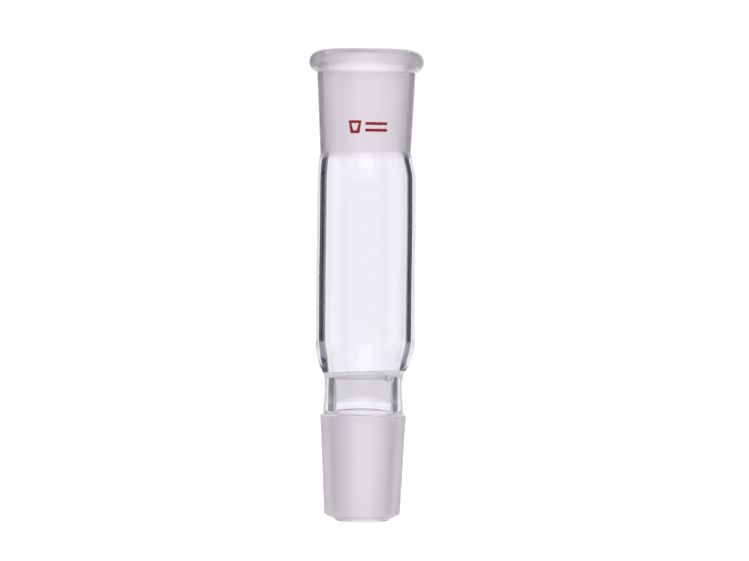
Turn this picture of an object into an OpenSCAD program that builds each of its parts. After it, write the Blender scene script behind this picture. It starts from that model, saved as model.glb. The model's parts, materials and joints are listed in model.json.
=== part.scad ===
// Straight air condenser in borosilicate glass, with a 19/22 ground socket above and a
// 19/22 ground cone below. Everything is turned about Z and stands on the cone's lip at z = 0.

/* [Ground joints] */
// Large-end diameter of both ground tapers
joint_d = 19; // [18.6:0.1:19.4]
// Ground length of both tapers
joint_len = 22; // [20:0.5:26]
// Diameter lost per unit of length along a ground taper
joint_taper = 0.1; // [0.08:0.01:0.11]

/* [Rim bead] */
// Outer diameter over the reinforcing bead
bead_d = 25.7; // [25:0.1:27]
// Height of the bead, which is also the diameter of its round section
bead_h = 5.3; // [4.6:0.1:5.6]
// Radius of the fire-polished edge inside the mouth
mouth_round = 0.8; // [0.4:0.1:0.8]

/* [Socket] */
// Wall thickness of the socket
socket_wall = 1.75; // [1.6:0.05:2]
// Length of the plain tail below the socket's ground stretch
socket_tail = 1; // [0.5:0.5:2]

/* [Body tube] */
// Outer diameter of the body tube
body_d = 22; // [21:0.1:22.6]
// Wall thickness of the body tube
body_wall = 1.7; // [1.4:0.1:2]
// Length of the straight stretch of the body tube
body_len = 35.9; // [20:0.1:200]
// Length over which the body narrows to the socket
waist_len = 6; // [4:0.5:10]
// Radius of the rounded shoulder under the body
shoulder_r = 13.5; // [12:0.5:16]
// Radius of the hollow that joins the shoulder to the neck
shoulder_fillet = 5.7; // [5:0.1:7]

/* [Neck] */
// Outer diameter of the neck
neck_d = 17.4; // [17:0.1:17.8]
// Bore of the neck
neck_bore = 13.2; // [13:0.1:13.8]
// Length of the neck, from the weld under the shoulder to the ground cone
neck_len = 7.1; // [6:0.1:12]

/* [Cone] */
// Height of the bevel and lip below the ground stretch
tip_h = 1.5; // [1.3:0.1:1.8]
// Height of the clear lip at the very end
lip_h = 0.45; // [0.4:0.05:0.5]
// Outer diameter of the clear lip
lip_d = 12.4; // [12.2:0.1:12.6]
// Bore at the lip
tip_bore = 10.4; // [10:0.1:10.5]

/* [Size mark] */
// Width of the enamel mark
mark_w = 8.8; // [8:0.1:10]
// Height of the enamel mark
mark_h = 2.9; // [2.5:0.1:3.5]
// Width of the enamel lines
mark_line = 0.7; // [0.4:0.05:0.9]
// Thickness of the enamel on the glass
mark_t = 0.06; // [0.04:0.01:0.1]
// Height of the mark's centre above the bottom of the socket
mark_up = 5.5; // [4:0.1:10]
// Turn of the mark's centre about the axis, from the front
mark_turn = 2.8; // [-30:0.1:30]

/* [Hidden] */
$fn = 180;
steps = 12;                        // straight pieces in each curved stretch of an outline
clear_glass = [0.93, 0.93, 0.97, 0.45];
ground_glass = [0.86, 0.83, 0.87, 0.9];
enamel_red = [0.56, 0.03, 0.12];

joint_r = joint_d / 2;
joint_small_r = joint_r - joint_len * joint_taper / 2;
body_r = body_d / 2;
body_bore_r = body_r - body_wall;
neck_r = neck_d / 2;
neck_bore_r = neck_bore / 2;
lip_r = lip_d / 2;
tip_bore_r = tip_bore / 2;
bead_r = bead_h / 2;
bead_ring_r = bead_d / 2 - bead_r;

// The shoulder is an arc and a hollow arc, tangent to each other where both have turned this far
shoulder_turn = acos(1 - (body_r - neck_r) / (shoulder_r + shoulder_fillet));
shoulder_h = (shoulder_r + shoulder_fillet) * sin(shoulder_turn);

// Heights of the stations, from the lip upwards
cone_top_z = tip_h + joint_len;
weld_z = cone_top_z + neck_len;
body_low_z = weld_z + shoulder_h;
body_high_z = body_low_z + body_len;
socket_z = body_high_z + waist_len;
tail_z = socket_z - socket_tail;
mouth_z = socket_z + joint_len;
top_z = mouth_z + mouth_round;
bead_z = top_z - bead_h;

// The neck's outline swells, then steps out to the cone over a short hollow
neck_swell = 0.26;
swell_h = 5.3;
step_h = 0.6;
// The bore draws in to the cone's tapering bore over this height, just inside the ground stretch
bore_draw_h = 2;
// The bore narrows from the top of the shoulder down to a ring, then bends into the neck
ring_in = 1.2;
ring_up = 2.9;
bend_h = 1.3;
lip_round = 0.2;                   // radius of the lip's edge on the bore side
lip_wide = 0.6;                    // how far in the lip's outside is rounded
lip_inner_h = 0.5;
waist_power = 1.6;                 // how quickly the waist opens just under the socket

function socket_bore_r(z) = joint_r - (mouth_z - z) * joint_taper / 2;

// Share of the waist's widening that is reached at height z
function waist(z) = 1 - pow(max(0, (z - body_high_z) / waist_len), waist_power);

function waist_outer_r(z) =
    let (top_r = joint_small_r + socket_wall) top_r + (body_r - top_r) * waist(z);

function waist_bore_r(z) = joint_small_r + (body_bore_r - joint_small_r) * waist(z);

// Points of an arc about [r, z], from angle a to angle b
function arc(r, z, radius, a, b) =
    [for (i = [0 : steps]) let (t = a + (b - a) * i / steps)
        [r + radius * cos(t), z + radius * sin(t)]];

// Points of a cubic curve with its ends at p and s and its handles at q and r
function curve(p, q, r, s) =
    [for (i = [0 : steps]) let (t = i / steps, u = 1 - t)
        u * u * u * p + 3 * u * u * t * q + 3 * u * t * t * r + t * t * t * s];

module turned(outline) {
    rotate_extrude() polygon(outline);
}

// Reinforcing bead round the mouth, with the top of the ground bore through it
module rim_bead() {
    color(ground_glass) rotate_extrude() difference() {
        union() {
            translate([bead_ring_r, bead_z + bead_r]) circle(r = bead_r);
            translate([socket_bore_r(bead_z), bead_z])
                square([bead_ring_r - socket_bore_r(bead_z), bead_h]);
            translate([socket_bore_r(bead_z), bead_z])
                square([socket_wall, bead_r]);
        }
        polygon([[0, bead_z - 1], [socket_bore_r(bead_z - 1), bead_z - 1],
                 [joint_r, mouth_z], [joint_r, top_z + 1], [0, top_z + 1]]);
        difference() {
            translate([joint_r - 1, mouth_z]) square([1 + mouth_round, mouth_round + 1]);
            translate([joint_r + mouth_round, mouth_z]) circle(r = mouth_round);
        }
    }
}

// Socket with its ground 1:10 bore, down to the weld on the body
module socket_joint() {
    tail = [for (i = [0 : steps]) tail_z + socket_tail * i / steps];
    color(ground_glass) turned(concat(
        [for (z = tail) [waist_outer_r(z), z]],
        [[socket_bore_r(bead_z) + socket_wall, bead_z], [socket_bore_r(bead_z), bead_z]],
        [for (i = [steps : -1 : 0]) [waist_bore_r(tail[i]), tail[i]]]));
}

// Body tube with its waist above and its rounded shoulder below
module body_tube() {
    waist_zs = [for (i = [0 : steps]) body_high_z + (tail_z - body_high_z) * i / steps];
    bore_low = [body_bore_r, body_low_z];
    ring = [body_bore_r - ring_in, weld_z + ring_up];
    bend_end = [neck_bore_r, ring[1] - bend_h];
    color(clear_glass) turned(concat(
        arc(neck_r + shoulder_fillet, weld_z, shoulder_fillet, 180, 180 - shoulder_turn),
        arc(body_r - shoulder_r, body_low_z, shoulder_r, -shoulder_turn, 0),
        [for (z = waist_zs) [waist_outer_r(z), z]],
        [for (i = [steps : -1 : 0]) [waist_bore_r(waist_zs[i]), waist_zs[i]]],
        curve(bore_low, bore_low - [0.2, 2.4], ring + [0.35, 2.5], ring),
        curve(ring, ring - [0.06, 0.4], bend_end + [0.05, 0.9], bend_end),
        [[neck_bore_r, weld_z]]));
}

// Clear neck between the weld and the ground cone
module neck_tube() {
    swell_r = neck_r + neck_swell;
    step_z = cone_top_z + step_h;
    color(clear_glass) turned(concat(
        curve([joint_r, cone_top_z], [joint_r - 0.22, cone_top_z + 0.1],
              [swell_r + 0.02, step_z - 0.25], [swell_r, step_z]),
        curve([swell_r, step_z], [swell_r - 0.09, step_z + 1.8],
              [neck_r + 0.02, step_z + swell_h - 1.8], [neck_r, step_z + swell_h]),
        [[neck_r, weld_z], [neck_bore_r, weld_z], [neck_bore_r, cone_top_z]]));
}

// Cone with its ground 1:10 outside, ground bevel and clear rounded lip
module ground_cone() {
    draw_z = cone_top_z - bore_draw_h;
    draw_end = [tip_bore_r + (draw_z - lip_h) * joint_taper / 2, draw_z];
    color(ground_glass) turned(concat(
        [[joint_small_r, tip_h], [joint_r, cone_top_z]],
        curve([neck_bore_r, cone_top_z], [neck_bore_r, cone_top_z - 0.8],
              draw_end + [0.04, 0.8], draw_end),
        [[tip_bore_r, lip_inner_h]],
        arc(tip_bore_r + lip_round, lip_round, lip_round, 180, 270),
        curve([lip_r - lip_wide, 0], [lip_r - lip_wide / 2, 0],
              [lip_r, lip_h / 2], [lip_r, lip_h])));
}

// Outline of the mark: the side view of a taper, and two bars beside it
module mark_outline() {
    top_w = 3;
    bottom_w = 2.1;
    bar_gap = 0.7;
    taper_x = top_w / 2 - mark_w / 2;
    half = mark_h / 2;
    bars_x = taper_x + top_w / 2 + bar_gap;
    translate([taper_x, 0]) difference() {
        polygon([[-bottom_w / 2, -half], [bottom_w / 2, -half], [top_w / 2, half], [-top_w / 2, half]]);
        polygon([[-bottom_w / 2 + mark_line, mark_line - half], [bottom_w / 2 - mark_line, mark_line - half],
                 [top_w / 2 - mark_line, half - mark_line], [-top_w / 2 + mark_line, half - mark_line]]);
    }
    for (z = [-half / 2, half / 2])
        translate([bars_x, z - mark_line / 2]) square([mark_w / 2 - bars_x, mark_line]);
}

// Red enamel fired on the front of the socket, as thick as one coat
module size_mark() {
    low_z = socket_z + mark_up - mark_h;
    high_z = socket_z + mark_up + mark_h;
    low_r = socket_bore_r(low_z) + socket_wall;
    high_r = socket_bore_r(high_z) + socket_wall;
    color(enamel_red) rotate(mark_turn) intersection() {
        turned([[low_r, low_z], [low_r + mark_t, low_z], [high_r + mark_t, high_z], [high_r, high_z]]);
        translate([0, 0, socket_z + mark_up]) rotate([90, 0, 0])
            linear_extrude(body_d) mark_outline();
    }
}

rim_bead();
socket_joint();
body_tube();
neck_tube();
ground_cone();
size_mark();
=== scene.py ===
import json
import math

import bpy
from mathutils import Matrix, Vector, noise


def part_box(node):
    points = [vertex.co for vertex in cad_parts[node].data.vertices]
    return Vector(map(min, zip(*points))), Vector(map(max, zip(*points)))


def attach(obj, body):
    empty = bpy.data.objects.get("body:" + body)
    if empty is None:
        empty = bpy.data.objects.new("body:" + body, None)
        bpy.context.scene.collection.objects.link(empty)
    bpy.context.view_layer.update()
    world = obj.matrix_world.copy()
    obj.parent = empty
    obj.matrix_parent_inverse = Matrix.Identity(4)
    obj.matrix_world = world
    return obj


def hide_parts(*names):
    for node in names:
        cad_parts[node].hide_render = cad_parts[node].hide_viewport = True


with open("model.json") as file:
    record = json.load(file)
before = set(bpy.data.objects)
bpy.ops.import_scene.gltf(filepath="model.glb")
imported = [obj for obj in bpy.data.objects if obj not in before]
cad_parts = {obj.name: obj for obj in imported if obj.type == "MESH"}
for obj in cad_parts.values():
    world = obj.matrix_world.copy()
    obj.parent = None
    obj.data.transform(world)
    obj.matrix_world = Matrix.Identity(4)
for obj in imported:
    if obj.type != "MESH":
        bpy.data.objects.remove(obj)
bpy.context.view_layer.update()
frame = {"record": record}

MM = 0.001
SEGMENTS = 224                     # columns round the axis of every turned piece
ROW = 0.7 * MM                     # longest row along a straight stretch

# ---------------------------------------------------------------- sizes, from the frame


def low(node):
    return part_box(node)[0]


def high(node):
    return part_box(node)[1]


MOUNTS = {mount["name"]: mount for mount in frame["record"]["mounts"]}
BODY_R = MOUNTS["body_grip"]["dims"]["r_mm"] * MM
JOINT_LEN = MOUNTS["socket_19_22"]["dims"]["length_mm"] * MM
JOINT_SLOPE = 0.05                 # radius lost per height along a 1:10 ground taper

TOP_Z = high("rim_bead").z
BEAD_Z = low("rim_bead").z
TAIL_Z = low("socket_joint").z
WELD_Z = low("body_tube").z
CONE_Z = high("ground_cone").z
TIP_Z = CONE_Z - JOINT_LEN
MOUTH_ROUND = 0.8 * MM
MOUTH_Z = TOP_Z - MOUTH_ROUND
SOCKET_Z = MOUTH_Z - JOINT_LEN
WAIST_LEN = 6 * MM
WAIST_POWER = 1.6                  # how quickly the waist opens just under the socket
BODY_HIGH_Z = SOCKET_Z - WAIST_LEN

BEAD_OUT_R = high("rim_bead").x
BEAD_R = (TOP_Z - BEAD_Z) / 2
BEAD_RING_R = BEAD_OUT_R - BEAD_R
JOINT_R = high("ground_cone").x
JOINT_SMALL_R = JOINT_R - JOINT_LEN * JOINT_SLOPE
SOCKET_WALL = 1.75 * MM
BODY_WALL = 1.7 * MM
BODY_BORE_R = BODY_R - BODY_WALL
NECK_R = 8.7 * MM
NECK_BORE_R = 6.6 * MM
LIP_R = 6.2 * MM
LIP_BORE_R = 5.2 * MM
LIP_H = 0.45 * MM
LIP_ROUND = 0.2 * MM               # edge of the lip on the bore side
LIP_WIDE = 0.6 * MM                # how far in the lip's outside is rounded
CLEAR_LIP_Z = 0.62 * MM            # where the fire-polished lip ends and the ground bevel begins
BORE_DRAW_H = 2 * MM               # height over which the neck's bore draws in to the cone's
SHOULDER_R = 13.5 * MM
FILLET_R = 5.7 * MM
SHOULDER_TURN = math.acos(1 - (BODY_R - NECK_R) / (SHOULDER_R + FILLET_R))
BODY_LOW_Z = WELD_Z + (SHOULDER_R + FILLET_R) * math.sin(SHOULDER_TURN)

# The body's bore narrows to a ring, then bends into the neck's bore
RING_Z = WELD_Z + 2.9 * MM
RING_R = BODY_BORE_R - 1.2 * MM
BEND_Z = RING_Z - 1.3 * MM
# Above this the neck's bore is hazy and carries painted shade, a grey tint
HAZE_AND_SHADE_Z = CONE_Z + 2.8 * MM         # the neck's bore is clear below this
# The neck's outline swells downwards, then steps out to the cone over a short hollow
NECK_SWELL = 0.26 * MM
STEP_Z = CONE_Z + 0.6 * MM
SWELL_TOP_Z = STEP_Z + 5.3 * MM

# ---------------------------------------------------------------- outlines


def arc(r, z, radius, a, b, n=14):
    """Points of an arc about (r, z), from angle a to angle b in radians."""
    turns = [a + (b - a) * i / n for i in range(n + 1)]
    return [(r + radius * math.cos(t), z + radius * math.sin(t)) for t in turns]


def curve(p, q, r, s, n=14):
    """Points of a cubic curve from p to s, with its handles at q and r."""
    points = []
    for i in range(n + 1):
        t = i / n
        u = 1 - t
        weights = (u ** 3, 3 * u * u * t, 3 * u * t * t, t ** 3)
        points.append(tuple(sum(w * c[k] for w, c in zip(weights, (p, q, r, s))) for k in (0, 1)))
    return points


def straight(p, q):
    """Points of a straight stretch, in rows no longer than ROW."""
    n = max(1, math.ceil(math.dist(p, q) / ROW))
    return [(p[0] + (q[0] - p[0]) * i / n, p[1] + (q[1] - p[1]) * i / n) for i in range(n + 1)]


def socket_bore_r(z):
    return JOINT_R - (MOUTH_Z - z) * JOINT_SLOPE


def waist(z):
    """Share of the waist's widening that is reached at height z."""
    return 1 - max(0.0, (z - BODY_HIGH_Z) / WAIST_LEN) ** WAIST_POWER


def waist_out_r(z):
    top = JOINT_SMALL_R + SOCKET_WALL
    return top + (BODY_R - top) * waist(z)


def waist_bore_r(z):
    return JOINT_SMALL_R + (BODY_BORE_R - JOINT_SMALL_R) * waist(z)


def levels(a, b, n=14):
    return [a + (b - a) * i / n for i in range(n + 1)]


# ---------------------------------------------------------------- handmade unevenness

BULGE = 0.06 * MM                  # how much fuller the body is halfway up
UNEVEN = 0.05 * MM                 # slow waves in the clear glass and in the ground edge
UNEVEN_TALL = 14 * MM              # height of one of them
UNEVEN_CLEAR = 0.5 * MM            # how far they keep from both ground stretches
UNEVEN_FADE = 3 * MM               # height over which they fade out at both ends
WELD_UNEVEN = 0.03 * MM            # short waves in the weld under the shoulder
WELD_TALL = 1.5 * MM               # height of one of them
WELD_MID_Z, WELD_REACH = WELD_Z + 0.9 * MM, 1.6 * MM
# Two thicker places inside the weld: turn about the axis, reach in turn and height, height, depth
DROPS = [
    (-0.72, 0.30, 1.1 * MM, WELD_Z + 1.6 * MM, 0.28 * MM),
    (2.9, 0.5, 1.4 * MM, WELD_Z + 1.2 * MM, 0.2 * MM),
]
GROUND_SKEW = 0.22 * MM            # rise of the socket's ground edge towards +X
GROUND_BELOW, GROUND_ABOVE = 2 * MM, 6 * MM     # how far the glass follows that rise
BORE_SIDE = 0.9 * MM               # half the socket's wall: less than this is its bore side
NICK = 0.26 * MM                   # how far a nick drops in that edge
NICK_TURN, NICK_HALF = math.pi - 0.1, 0.45
RING_TILT_X, RING_TILT_Y = 0.046, -0.036        # rise of the bore's ring per length sideways
RING_REACH = 4 * MM
HAZE_AND_SHADE_BOW = 0.55 * MM               # how much the lower edge of the haze and painted shade dips at the sides
HAZE_AND_SHADE_REACH = 1.2 * MM
ASIDE = 0.3 * MM                   # how far the body stands towards +X of the joints' axis
ASIDE_RISE = 9 * MM                # height over which the shoulder reaches it


def falloff(distance, reach):
    t = max(0.0, 1 - abs(distance) / reach)
    return t * t * (3 - 2 * t)


def ease(share):
    t = max(0.0, min(1.0, share))
    return t * t * (3 - 2 * t)


def wave(x, y, z, seed):
    """Smooth noise about 0, for a point given in units of the noise's own size."""
    return noise.noise(Vector((x + seed * 17.3, y - seed * 9.1, z + seed * 5.7)))


def turn_from(start, a):
    """How far a is turned from start, between minus pi and pi."""
    return math.atan2(math.sin(a - start), math.cos(a - start))


def worked(r, z, a):
    """Where a point of the ideal outline lies on the glass, after hand work in the flame."""
    x, y = math.cos(a), math.sin(a)
    out = r
    rise = z
    body = falloff(z - (BODY_LOW_Z + BODY_HIGH_Z) / 2, (BODY_HIGH_Z - BODY_LOW_Z) / 2)
    out += BULGE * body
    clear_low, clear_high = CONE_Z + UNEVEN_CLEAR, SOCKET_Z - UNEVEN_CLEAR
    if clear_low < z < clear_high:
        soft = min(1.0, (z - clear_low) / UNEVEN_FADE, (clear_high - z) / UNEVEN_FADE)
        out += soft * UNEVEN * wave(x * 0.8, y * 0.8, z / UNEVEN_TALL, 1)
    # The weld under the shoulder is a low uneven ring, thicker in two places on the inside
    weld = falloff(z - WELD_MID_Z, WELD_REACH)
    out += weld * WELD_UNEVEN * wave(x * 2.2, y * 2.2, z / WELD_TALL, 2)
    # The middle of the wall leans outwards above the weld
    inside = r < (NECK_R + NECK_BORE_R) / 2 + max(0.0, z - WELD_Z) * 0.25
    if inside:
        for turn, wide, tall, height, depth in DROPS:
            out -= depth * falloff(turn_from(turn, a), wide) * falloff(z - height, tall)
    # The ground edge in the socket is a little askew, with a nick on the left
    if r < JOINT_SMALL_R + BORE_SIDE and z > TAIL_Z - 3 * MM:
        near = falloff(z - SOCKET_Z, GROUND_BELOW if z < SOCKET_Z else GROUND_ABOVE)
        askew = GROUND_SKEW * x + UNEVEN * wave(x * 4, y * 4, 0.0, 3)
        nick = NICK if abs(turn_from(NICK_TURN, a)) < NICK_HALF else 0
        rise += near * (askew - nick)
    # The bore's ring at the foot of the shoulder is a little askew
    if inside and z > WELD_Z:
        tilt = RING_TILT_X * out * x + RING_TILT_Y * out * y
        rise += falloff(z - RING_Z, RING_REACH) * tilt
    # The lower edge of the neck's haze and painted shade dips at the sides
    if inside and abs(z - HAZE_AND_SHADE_Z) < HAZE_AND_SHADE_REACH:
        rise += falloff(z - HAZE_AND_SHADE_Z, HAZE_AND_SHADE_REACH) * HAZE_AND_SHADE_BOW * (y * y - x * x)
    aside = ASIDE * ease((z - WELD_Z) / ASIDE_RISE) * ease((SOCKET_Z - z) / WAIST_LEN)
    return Vector((out * x + aside, out * y, rise))


# ---------------------------------------------------------------- materials

IOR = 1.474                        # borosilicate glass


def material(name):
    made = bpy.data.materials.new(name)
    made.use_nodes = True
    nodes, links = made.node_tree.nodes, made.node_tree.links
    nodes.clear()
    output = nodes.new("ShaderNodeOutputMaterial")
    return made, nodes, links, output


def add(nodes, kind, **inputs):
    node = nodes.new(kind)
    for name, value in inputs.items():
        node.inputs[name].default_value = value
    return node


def glass_shader(nodes, links, output, transmission, roughness):
    shader = nodes.new("ShaderNodeBsdfPrincipled")
    shader.inputs["Transmission Weight"].default_value = transmission
    shader.inputs["IOR"].default_value = IOR
    shader.inputs["Roughness"].default_value = roughness
    links.new(shader.outputs[0], output.inputs["Surface"])
    return shader


def stretched_noise(nodes, links, scale, stretch, detail=3.0):
    """Noise in the object's own coordinates, drawn out along the axis or round it."""
    where = nodes.new("ShaderNodeTexCoord")
    shape = add(nodes, "ShaderNodeMapping", Scale=stretch)
    grain = add(nodes, "ShaderNodeTexNoise", Scale=scale, Detail=detail)
    links.new(where.outputs["Object"], shape.inputs["Vector"])
    links.new(shape.outputs[0], grain.inputs["Vector"])
    return grain


def varied(nodes, links, grain, shader, dark, light, rough=None, start=0.3, end=0.7):
    """Base colour, and roughness if given, that follow the noise between two values."""
    tone = nodes.new("ShaderNodeValToRGB")
    tone.color_ramp.elements[0].position = start
    tone.color_ramp.elements[0].color = (*dark, 1)
    tone.color_ramp.elements[1].position = end
    tone.color_ramp.elements[1].color = (*light, 1)
    links.new(grain.outputs["Fac"], tone.inputs["Fac"])
    links.new(tone.outputs["Color"], shader.inputs["Base Color"])
    if rough:
        spread = nodes.new("ShaderNodeMapRange")
        spread.inputs["From Min"].default_value = start
        spread.inputs["From Max"].default_value = end
        spread.inputs["To Min"].default_value = rough[0]
        spread.inputs["To Max"].default_value = rough[1]
        links.new(grain.outputs["Fac"], spread.inputs["Value"])
        links.new(spread.outputs[0], shader.inputs["Roughness"])


def relief(nodes, links, grain, shader, strength, distance):
    bump = add(nodes, "ShaderNodeBump", Strength=strength, Distance=distance)
    links.new(grain.outputs["Fac"], bump.inputs["Height"])
    links.new(bump.outputs[0], shader.inputs["Normal"])


def clear_glass():
    made, nodes, links, output = material("clear_borosilicate")
    shader = glass_shader(nodes, links, output, 1.0, 0.0)
    streaks = stretched_noise(nodes, links, 260, (1, 1, 0.06))
    varied(nodes, links, streaks, shader, (0.940, 0.937, 0.969), (0.948, 0.945, 0.975))
    relief(nodes, links, streaks, shader, 0.008, 0.0002)
    return made


def satin_glass():
    """The socket's outside: glossy, with the milky look of its ground bore carried to the edges."""
    made, nodes, links, output = material("socket_outside")
    shader = glass_shader(nodes, links, output, 0.96, 0.25)
    shader.inputs["Coat Weight"].default_value = 0.8
    shader.inputs["Coat Roughness"].default_value = 0.04
    cloud = stretched_noise(nodes, links, 300, (1, 1, 0.4))
    varied(nodes, links, cloud, shader, (0.94, 0.91, 0.945), (0.955, 0.925, 0.96), (0.2, 0.24))
    return made


def haze_and_painted_shade_glass(name, transmission, roughness):
    made, nodes, links, output = material(name)
    shader = glass_shader(nodes, links, output, transmission, roughness)
    mist = stretched_noise(nodes, links, 420, (1, 1, 1), 4.0)
    rough = (roughness - 0.04, roughness + 0.04)
    # Painted shade: the base colour is a grey tint, much darker than the clear glass, that darkens
    # all seen through it; the roughness is the real haze
    varied(nodes, links, mist, shader, (0.79, 0.755, 0.79), (0.83, 0.795, 0.83), rough)
    return made


def ground_glass(name, transmission, roughness, dark, light):
    made, nodes, links, output = material(name)
    shader = glass_shader(nodes, links, output, transmission, roughness)
    rings = stretched_noise(nodes, links, 2600, (0.05, 0.05, 1))
    varied(nodes, links, rings, shader, dark, light, (roughness - 0.06, roughness + 0.06))
    grain = stretched_noise(nodes, links, 5200, (0.5, 0.5, 1), 2.0)
    relief(nodes, links, grain, shader, 0.25, 0.00003)
    return made


def weld_face():
    """The join inside the glass, where two blanks fused and light passes straight on."""
    made, nodes, links, output = material("fused_weld_face")
    through = nodes.new("ShaderNodeBsdfTransparent")
    links.new(through.outputs[0], output.inputs["Surface"])
    return made


def red_enamel():
    made, nodes, links, output = material("fired_red_enamel")
    shader = nodes.new("ShaderNodeBsdfPrincipled")
    shader.inputs["Roughness"].default_value = 0.45
    shader.inputs["Specular IOR Level"].default_value = 0.3
    grain = stretched_noise(nodes, links, 2600, (1, 1, 1))
    varied(nodes, links, grain, shader, (0.20, 0.0, 0.006), (0.33, 0.0, 0.016), start=0.35)
    relief(nodes, links, grain, shader, 0.4, 0.00002)
    links.new(shader.outputs[0], output.inputs["Surface"])
    return made


CLEAR = clear_glass()
# The neck's bore and its bend: real haze, with painted shade in their grey tint
HAZE_AND_SHADE = haze_and_painted_shade_glass("hazed_bore_painted_shade", 0.88, 0.08)
HAZE_AND_SHADE_BEND = haze_and_painted_shade_glass("hazed_bend_painted_shade", 0.65, 0.85)
SATIN = satin_glass()
GROUND_BORE = ground_glass("ground_bore", 1.0, 0.44,
                           (0.915, 0.865, 0.905), (0.94, 0.89, 0.93))
GROUND_CONE = ground_glass("ground_cone_face", 0.95, 0.54,
                           (0.95, 0.895, 0.94), (0.975, 0.92, 0.965))
FUSED = weld_face()
ENAMEL = red_enamel()

# ---------------------------------------------------------------- turned glass


def turned(name, node, stretches):
    """A closed glass piece from one loop of stretches, each a material and its points."""
    materials, points, bands = [], [], []
    for finish, stretch in stretches:
        if finish not in materials:
            materials.append(finish)
        for point in stretch[:-1]:
            points.append(point)
            bands.append(materials.index(finish))
    rings = len(points)
    vertices, faces, face_materials = [], [], []
    for r, z in points:
        vertices += [worked(r, z, math.tau * k / SEGMENTS) for k in range(SEGMENTS)]
    for i in range(rings):
        j = (i + 1) % rings
        for k in range(SEGMENTS):
            m = (k + 1) % SEGMENTS
            faces.append((i * SEGMENTS + k, i * SEGMENTS + m, j * SEGMENTS + m, j * SEGMENTS + k))
            face_materials.append(bands[i])
    mesh = bpy.data.meshes.new(name)
    mesh.from_pydata(vertices, [], faces)
    for finish in materials:
        mesh.materials.append(finish)
    mesh.polygons.foreach_set("material_index", face_materials)
    mesh.polygons.foreach_set("use_smooth", [True] * len(faces))
    mesh.update()
    mesh.set_sharp_from_angle(angle=math.radians(40))
    piece = bpy.data.objects.new(name, mesh)
    bpy.context.scene.collection.objects.link(piece)
    piece.visible_diffuse = False
    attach(piece, "root")
    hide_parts(node)
    return piece


def rim_bead():
    foot = socket_bore_r(BEAD_Z) + SOCKET_WALL
    start = math.acos(min(1.0, (foot - BEAD_RING_R) / BEAD_R))
    outside = arc(BEAD_RING_R, BEAD_Z + BEAD_R, BEAD_R, -start, math.pi / 2, 40)
    return turned("Rim_bead_glass", "rim_bead", [
        (SATIN, straight((foot, BEAD_Z), outside[0])),
        (SATIN, outside),
        (SATIN, straight(outside[-1], (JOINT_R + MOUTH_ROUND, TOP_Z))),
        (GROUND_BORE, arc(JOINT_R + MOUTH_ROUND, MOUTH_Z, MOUTH_ROUND, math.pi / 2, math.pi, 10)),
        (GROUND_BORE, straight((JOINT_R, MOUTH_Z), (socket_bore_r(BEAD_Z), BEAD_Z))),
        (FUSED, straight((socket_bore_r(BEAD_Z), BEAD_Z), (foot, BEAD_Z))),
    ])


def socket_joint():
    tail = levels(TAIL_Z, SOCKET_Z, 8)
    top_bore = (socket_bore_r(BEAD_Z), BEAD_Z)
    top_out = (top_bore[0] + SOCKET_WALL, BEAD_Z)
    outside = [(waist_out_r(z), z) for z in tail]
    inside = [(waist_bore_r(z), z) for z in reversed(tail)]
    return turned("Socket_glass", "socket_joint", [
        (SATIN, outside),
        (SATIN, straight(outside[-1], top_out)),
        (FUSED, straight(top_out, top_bore)),
        (GROUND_BORE, straight(top_bore, inside[0])),
        (CLEAR, inside),
        (FUSED, straight(inside[-1], outside[0])),
    ])


def body_tube():
    bore_low = (BODY_BORE_R, BODY_LOW_Z)
    ring = (RING_R, RING_Z)
    bend_end = (NECK_BORE_R, BEND_Z)
    narrowing = curve(bore_low, (bore_low[0] - 0.2 * MM, bore_low[1] - 2.4 * MM),
                      (ring[0] + 0.35 * MM, ring[1] + 2.5 * MM), ring, 22)
    bend = curve(ring, (ring[0] - 0.06 * MM, ring[1] - 0.4 * MM),
                 (bend_end[0] + 0.05 * MM, bend_end[1] + 0.9 * MM), bend_end, 20)
    waist_zs = levels(BODY_HIGH_Z, TAIL_Z)
    out_low, out_high = (BODY_R, BODY_LOW_Z), (BODY_R, BODY_HIGH_Z)
    fillet = arc(NECK_R + FILLET_R, WELD_Z, FILLET_R, math.pi, math.pi - SHOULDER_TURN, 18)
    shoulder = arc(BODY_R - SHOULDER_R, BODY_LOW_Z, SHOULDER_R, -SHOULDER_TURN, 0, 18)
    outer_waist = [(waist_out_r(z), z) for z in waist_zs]
    inner_waist = [(waist_bore_r(z), z) for z in reversed(waist_zs)]
    return turned("Body_tube_glass", "body_tube", [
        (CLEAR, fillet),
        (CLEAR, shoulder),
        (CLEAR, straight(out_low, out_high)),
        (CLEAR, outer_waist),
        (FUSED, straight(outer_waist[-1], inner_waist[0])),
        (CLEAR, inner_waist),
        (CLEAR, straight((BODY_BORE_R, BODY_HIGH_Z), bore_low)),
        (CLEAR, narrowing),
        # Painted shade: the bend and the bore under it take the hazed material's grey tint
        (HAZE_AND_SHADE_BEND, bend),
        (HAZE_AND_SHADE, straight(bend_end, (NECK_BORE_R, WELD_Z))),
        (FUSED, straight((NECK_BORE_R, WELD_Z), fillet[0])),
    ])


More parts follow.
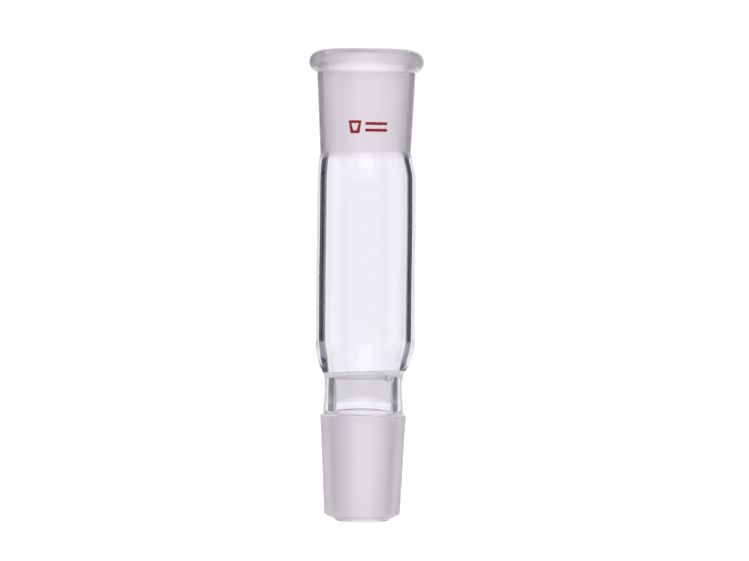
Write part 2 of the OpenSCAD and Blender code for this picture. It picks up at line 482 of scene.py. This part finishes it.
def neck_tube():
    swell = (NECK_R + NECK_SWELL, STEP_Z)
    swell_top = (NECK_R, SWELL_TOP_Z)
    step = curve((JOINT_R, CONE_Z), (JOINT_R - 0.22 * MM, CONE_Z + 0.1 * MM),
                 (swell[0] + 0.02 * MM, swell[1] - 0.25 * MM), swell, 12)
    swelling = curve(swell, (swell[0] - 0.09 * MM, swell[1] + 1.8 * MM),
                     (NECK_R + 0.02 * MM, swell_top[1] - 1.8 * MM), swell_top, 12)
    return turned("Neck_glass", "neck_tube", [
        (CLEAR, step),
        (CLEAR, swelling),
        (CLEAR, straight(swell_top, (NECK_R, WELD_Z))),
        (FUSED, straight((NECK_R, WELD_Z), (NECK_BORE_R, WELD_Z))),
        # Painted shade: the bore is hazy and tinted grey from the weld down to its clear stretch
        (HAZE_AND_SHADE, straight((NECK_BORE_R, WELD_Z), (NECK_BORE_R, HAZE_AND_SHADE_Z))),
        (CLEAR, straight((NECK_BORE_R, HAZE_AND_SHADE_Z), (NECK_BORE_R, CONE_Z))),
        (FUSED, straight((NECK_BORE_R, CONE_Z), (JOINT_R, CONE_Z))),
    ])


def ground_cone():
    bore_low = (LIP_BORE_R, LIP_H + 0.05 * MM)
    draw_end_z = CONE_Z - BORE_DRAW_H
    draw_end = (LIP_BORE_R + (draw_end_z - LIP_H) * JOINT_SLOPE, draw_end_z)
    draw = curve((NECK_BORE_R, CONE_Z), (NECK_BORE_R, CONE_Z - 0.8 * MM),
                 (draw_end[0] + 0.04 * MM, draw_end_z + 0.8 * MM), draw_end, 14)
    clear_share = (CLEAR_LIP_Z - LIP_H) / (TIP_Z - LIP_H)
    clear_end = (LIP_R + (JOINT_SMALL_R - LIP_R) * clear_share, CLEAR_LIP_Z)
    lip_edge = arc(LIP_BORE_R + LIP_ROUND, LIP_ROUND, LIP_ROUND, math.pi, math.pi * 1.5, 8)
    lip_foot = (LIP_R - LIP_WIDE, 0.0)
    lip_side = curve(lip_foot, (LIP_R - LIP_WIDE / 2, 0.0), (LIP_R, LIP_H / 2), (LIP_R, LIP_H), 8)
    return turned("Ground_cone_glass", "ground_cone", [
        (CLEAR, straight((LIP_R, LIP_H), clear_end)),
        (GROUND_CONE, straight(clear_end, (JOINT_SMALL_R, TIP_Z))),
        (GROUND_CONE, straight((JOINT_SMALL_R, TIP_Z), (JOINT_R, CONE_Z))),
        (FUSED, straight((JOINT_R, CONE_Z), (NECK_BORE_R, CONE_Z))),
        (CLEAR, draw),
        (CLEAR, straight(draw_end, bore_low)),
        (CLEAR, lip_edge + [lip_foot]),
        (CLEAR, lip_side),
    ])


# ---------------------------------------------------------------- enamel mark

MARK_LINE = 0.7 * MM               # width of the enamel lines
TAPER_TOP, TAPER_BOTTOM = 3 * MM, 2.1 * MM
BAR_GAP = 0.7 * MM
COAT = 0.07 * MM                   # thickness of the enamel
COAT_LIFT = 0.02 * MM              # height of the coat's middle over the glass
BRUSH_WAVE, BRUSH_SIZE = 0.03 * MM, 0.4 * MM


def band_ring(outer, inner, n=8):
    """Quads of a closed band between two outlines with as many corners."""
    rows = []
    for line in (outer, inner):
        row = []
        for k, start in enumerate(line):
            end = line[(k + 1) % len(line)]
            row += [(start[0] + (end[0] - start[0]) * i / n, start[1] + (end[1] - start[1]) * i / n)
                    for i in range(n)]
        rows.append(row)
    count = len(rows[0])
    quads = [(i, (i + 1) % count, count + (i + 1) % count, count + i) for i in range(count)]
    return rows[0] + rows[1], quads


def band_bar(left, right, z, line, n=14):
    """Quads of a straight bar."""
    points, quads = [], []
    for i in range(n + 1):
        x = left + (right - left) * i / n
        points += [(x, z - line / 2), (x, z + line / 2)]
        if i:
            quads.append((2 * i - 2, 2 * i, 2 * i + 1, 2 * i - 1))
    return points, quads


def size_mark():
    (left, _, base), (right, _, top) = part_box("size_mark")
    width, height = right - left, top - base
    middle = (left + right) / 2
    centre_z = (top + base) / 2
    half = height / 2
    taper_x = TAPER_TOP / 2 - width / 2
    bars_x = taper_x + TAPER_TOP / 2 + BAR_GAP
    low_half, high_half = TAPER_BOTTOM / 2, TAPER_TOP / 2
    corners = [(-low_half, -1), (low_half, -1), (high_half, 1), (-high_half, 1)]
    outer = [(taper_x + x, s * half) for x, s in corners]
    inner = [(taper_x + x - math.copysign(MARK_LINE, x), s * (half - MARK_LINE))
             for x, s in corners]
    shapes = [band_ring(outer, inner)]
    for z in (-half / 2, half / 2):
        shapes.append(band_bar(bars_x, width / 2, z, MARK_LINE))
    vertices, faces = [], []
    for points, quads in shapes:
        first = len(vertices)
        vertices += [(x, 0.0, z) for x, z in points]
        faces += [tuple(first + i for i in quad) for quad in quads]
    mesh = bpy.data.meshes.new("Size_mark_enamel")
    mesh.from_pydata(vertices, [], faces)
    mesh.materials.append(ENAMEL)
    piece = bpy.data.objects.new("Size_mark_enamel", mesh)
    bpy.context.scene.collection.objects.link(piece)
    thick = piece.modifiers.new("coat", "SOLIDIFY")
    thick.thickness = COAT
    thick.offset = 0
    smooth = piece.modifiers.new("soft_edges", "SUBSURF")
    smooth.levels = smooth.render_levels = 2
    evaluated = piece.evaluated_get(bpy.context.evaluated_depsgraph_get())
    finished = bpy.data.meshes.new_from_object(evaluated)
    piece.modifiers.clear()
    piece.data = finished
    for vertex in finished.vertices:
        x, lift, z = vertex.co
        x += BRUSH_WAVE * wave(x / BRUSH_SIZE, z / BRUSH_SIZE, 0.0, 4)
        z += BRUSH_WAVE * wave(x / BRUSH_SIZE, z / BRUSH_SIZE, 3.0, 4)
        height_z = centre_z + z
        r = socket_bore_r(height_z) + SOCKET_WALL + COAT_LIFT - lift
        a = (x + middle) / r - math.pi / 2
        vertex.co = (r * math.cos(a), r * math.sin(a), height_z)
    finished.polygons.foreach_set("use_smooth", [True] * len(finished.polygons))
    finished.update()
    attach(piece, "root")
    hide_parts("size_mark")
    return piece


rim_bead()
socket_joint()
body_tube()
neck_tube()
ground_cone()
size_mark()

# ---------------------------------------------------------------- floor, light and camera


def studio_floor():
    mesh = bpy.data.meshes.new("studio_floor")
    half = 2.4
    corners = [(-half, -half, 0), (half, -half, 0), (half, half, 0), (-half, half, 0)]
    mesh.from_pydata(corners, [], [(0, 1, 2, 3)])
    floor = bpy.data.objects.new("studio_floor", mesh)
    bpy.context.scene.collection.objects.link(floor)
    made, nodes, links, output = material("pale_floor")
    paint = nodes.new("ShaderNodeBsdfDiffuse")
    paint.inputs["Color"].default_value = (0.95, 0.95, 0.95, 1)
    links.new(paint.outputs[0], output.inputs["Surface"])
    mesh.materials.append(made)
    floor.visible_glossy = False
    floor.visible_transmission = False
    return floor


def maths(nodes, links, operation, first, second=None):
    node = nodes.new("ShaderNodeMath")
    node.operation = operation
    for socket, value in zip(node.inputs, (first, second)):
        if value is None:
            continue
        if isinstance(value, (int, float)):
            socket.default_value = value
        else:
            links.new(value, socket)
    return node.outputs[0]


FLAG = (0.008, 0.0, 0.026)         # black cloth behind the glass on both sides
GREY = (0.26, 0.22, 0.29)          # the strip of it that catches light from the floor
ROOM = (0.66, 0.64, 0.7)           # the room on the camera's side
DIM = (0.06, 0.05, 0.09)           # small dark things below the glass
SIDE = (0.42, 0.38, 0.46)          # the room's sides, high and low
GLOW = (1.4, 1.4, 1.45)            # softboxes over and under the camera
WALL_STRENGTH = 1.25               # the plain white wall, as the camera and matt paint see it
# Azimuth of the middle from +Y towards -X, half width, lowest and highest elevation, blur, colour
PANELS = [
    (180, 180, 40, 95, 1.2, (0.75, 0.73, 0.78)),
    (225, 84, -3, 40, 1.2, ROOM),
    (42.1, 17.9, -18, 38, 0.4, FLAG),
    (-44.2, 15.9, -18, 38, 0.4, FLAG),
    (127, 13, -18, 38, 8, (0.38, 0.36, 0.43)),
    (42.5, 17.5, -19, -6.2, 1.2, GREY),
    (-44.3, 15.8, -19, -6.2, 1.2, GREY),
    (90, 44, 17, 40, 4, SIDE),
    (90, 44, -70, -20, 4, SIDE),
    (270, 44, -70, -20, 4, SIDE),
    (187, 12, -20, -9, 1.2, DIM),
    (263, 12, -20, -9, 1.2, DIM),
    (7, 12, -36, -18, 1.2, DIM),
    (83, 12, -36, -18, 1.2, DIM),
    (180, 17, 16, 60, 1.2, GLOW),
    (180, 22, -40, -5, 1.2, GLOW),
]


def step(nodes, links, value, start, end):
    """Rises smoothly from 0 at start to 1 at end, also where start is the larger."""
    ramp = nodes.new("ShaderNodeMapRange")
    ramp.interpolation_type = "SMOOTHSTEP"
    ramp.inputs["From Min"].default_value = start
    ramp.inputs["From Max"].default_value = end
    links.new(value, ramp.inputs["Value"])
    return ramp.outputs[0]


def sine(degrees):
    return math.sin(math.radians(max(-90, min(degrees, 90))))


def cosine(degrees):
    return math.cos(math.radians(degrees))


def studio_world():
    """White walls with dark flags and a dim room, which only glass and gloss see."""
    world = bpy.data.worlds.new("studio")
    bpy.context.scene.world = world
    world.use_nodes = True
    nodes, links = world.node_tree.nodes, world.node_tree.links
    nodes.clear()
    where = nodes.new("ShaderNodeTexCoord")
    split = nodes.new("ShaderNodeSeparateXYZ")
    links.new(where.outputs["Generated"], split.inputs[0])
    x, y, z = split.outputs
    xx = maths(nodes, links, "MULTIPLY", x, x)
    yy = maths(nodes, links, "MULTIPLY", y, y)
    squares = maths(nodes, links, "ADD", xx, yy)
    flat = maths(nodes, links, "SQRT", maths(nodes, links, "ADD", squares, 1e-9))
    side = maths(nodes, links, "DIVIDE", x, flat)
    back = maths(nodes, links, "DIVIDE", y, flat)
    colour = None
    for azimuth, half_width, lowest, highest, blur, tone in PANELS:
        turn = math.radians(azimuth)
        sideways = maths(nodes, links, "MULTIPLY", side, -math.sin(turn))
        straight_on = maths(nodes, links, "MULTIPLY", back, math.cos(turn))
        towards = maths(nodes, links, "ADD", sideways, straight_on)
        over = step(nodes, links, z, sine(lowest - blur), sine(lowest + blur))
        under = step(nodes, links, z, sine(highest + blur), sine(highest - blur))
        mask = maths(nodes, links, "MULTIPLY", over, under)
        if half_width < 180:
            wide, narrow = cosine(half_width + blur), cosine(half_width - blur)
            within = step(nodes, links, towards, wide, narrow)
            mask = maths(nodes, links, "MULTIPLY", mask, within)
        mix = nodes.new("ShaderNodeMixRGB")
        links.new(mask, mix.inputs["Fac"])
        if colour is None:
            mix.inputs["Color1"].default_value = (1, 1, 1, 1)
        else:
            links.new(colour, mix.inputs["Color1"])
        mix.inputs["Color2"].default_value = (*tone, 1)
        colour = mix.outputs[0]
    rays = nodes.new("ShaderNodeLightPath")
    seen, lit = rays.outputs["Is Camera Ray"], rays.outputs["Is Diffuse Ray"]
    plain = maths(nodes, links, "MAXIMUM", seen, lit)
    walls = nodes.new("ShaderNodeBackground")
    links.new(colour, walls.inputs["Color"])
    white = nodes.new("ShaderNodeBackground")
    white.inputs["Color"].default_value = (1, 1, 1, 1)
    white.inputs["Strength"].default_value = WALL_STRENGTH
    mix = nodes.new("ShaderNodeMixShader")
    links.new(plain, mix.inputs["Fac"])
    links.new(walls.outputs[0], mix.inputs[1])
    links.new(white.outputs[0], mix.inputs[2])
    output = nodes.new("ShaderNodeOutputWorld")
    links.new(mix.outputs[0], output.inputs["Surface"])


EYE = Vector((0.0, -0.75, 0.066))
TARGET = Vector((0.0, 0.0, 0.0533))
LENS, SENSOR = 162.4, 36
ROLL = math.radians(0.58)          # the tube leans slightly in the picture
SHIFT_X = 0.0135


def studio_camera():
    data = bpy.data.cameras.new("camera")
    data.lens = LENS
    data.sensor_width = SENSOR
    data.clip_start = 0.01
    data.clip_end = 20
    camera = bpy.data.objects.new("camera", data)
    turn = (TARGET - EYE).to_track_quat("-Z", "Y")
    camera.rotation_mode = "QUATERNION"
    camera.rotation_quaternion = turn @ Matrix.Rotation(ROLL, 3, "Z").to_quaternion()
    camera.location = EYE
    data.shift_x = SHIFT_X
    bpy.context.scene.collection.objects.link(camera)
    bpy.context.scene.camera = camera


studio_floor()
studio_world()
studio_camera()

GLASS_BOUNCES = 24                 # enough to pass through both walls of the tube
scene = bpy.context.scene
scene.view_settings.view_transform = "Standard"
scene.cycles.max_bounces = GLASS_BOUNCES
scene.cycles.transmission_bounces = GLASS_BOUNCES
scene.cycles.glossy_bounces = GLASS_BOUNCES // 2
scene.cycles.transparent_max_bounces = GLASS_BOUNCES
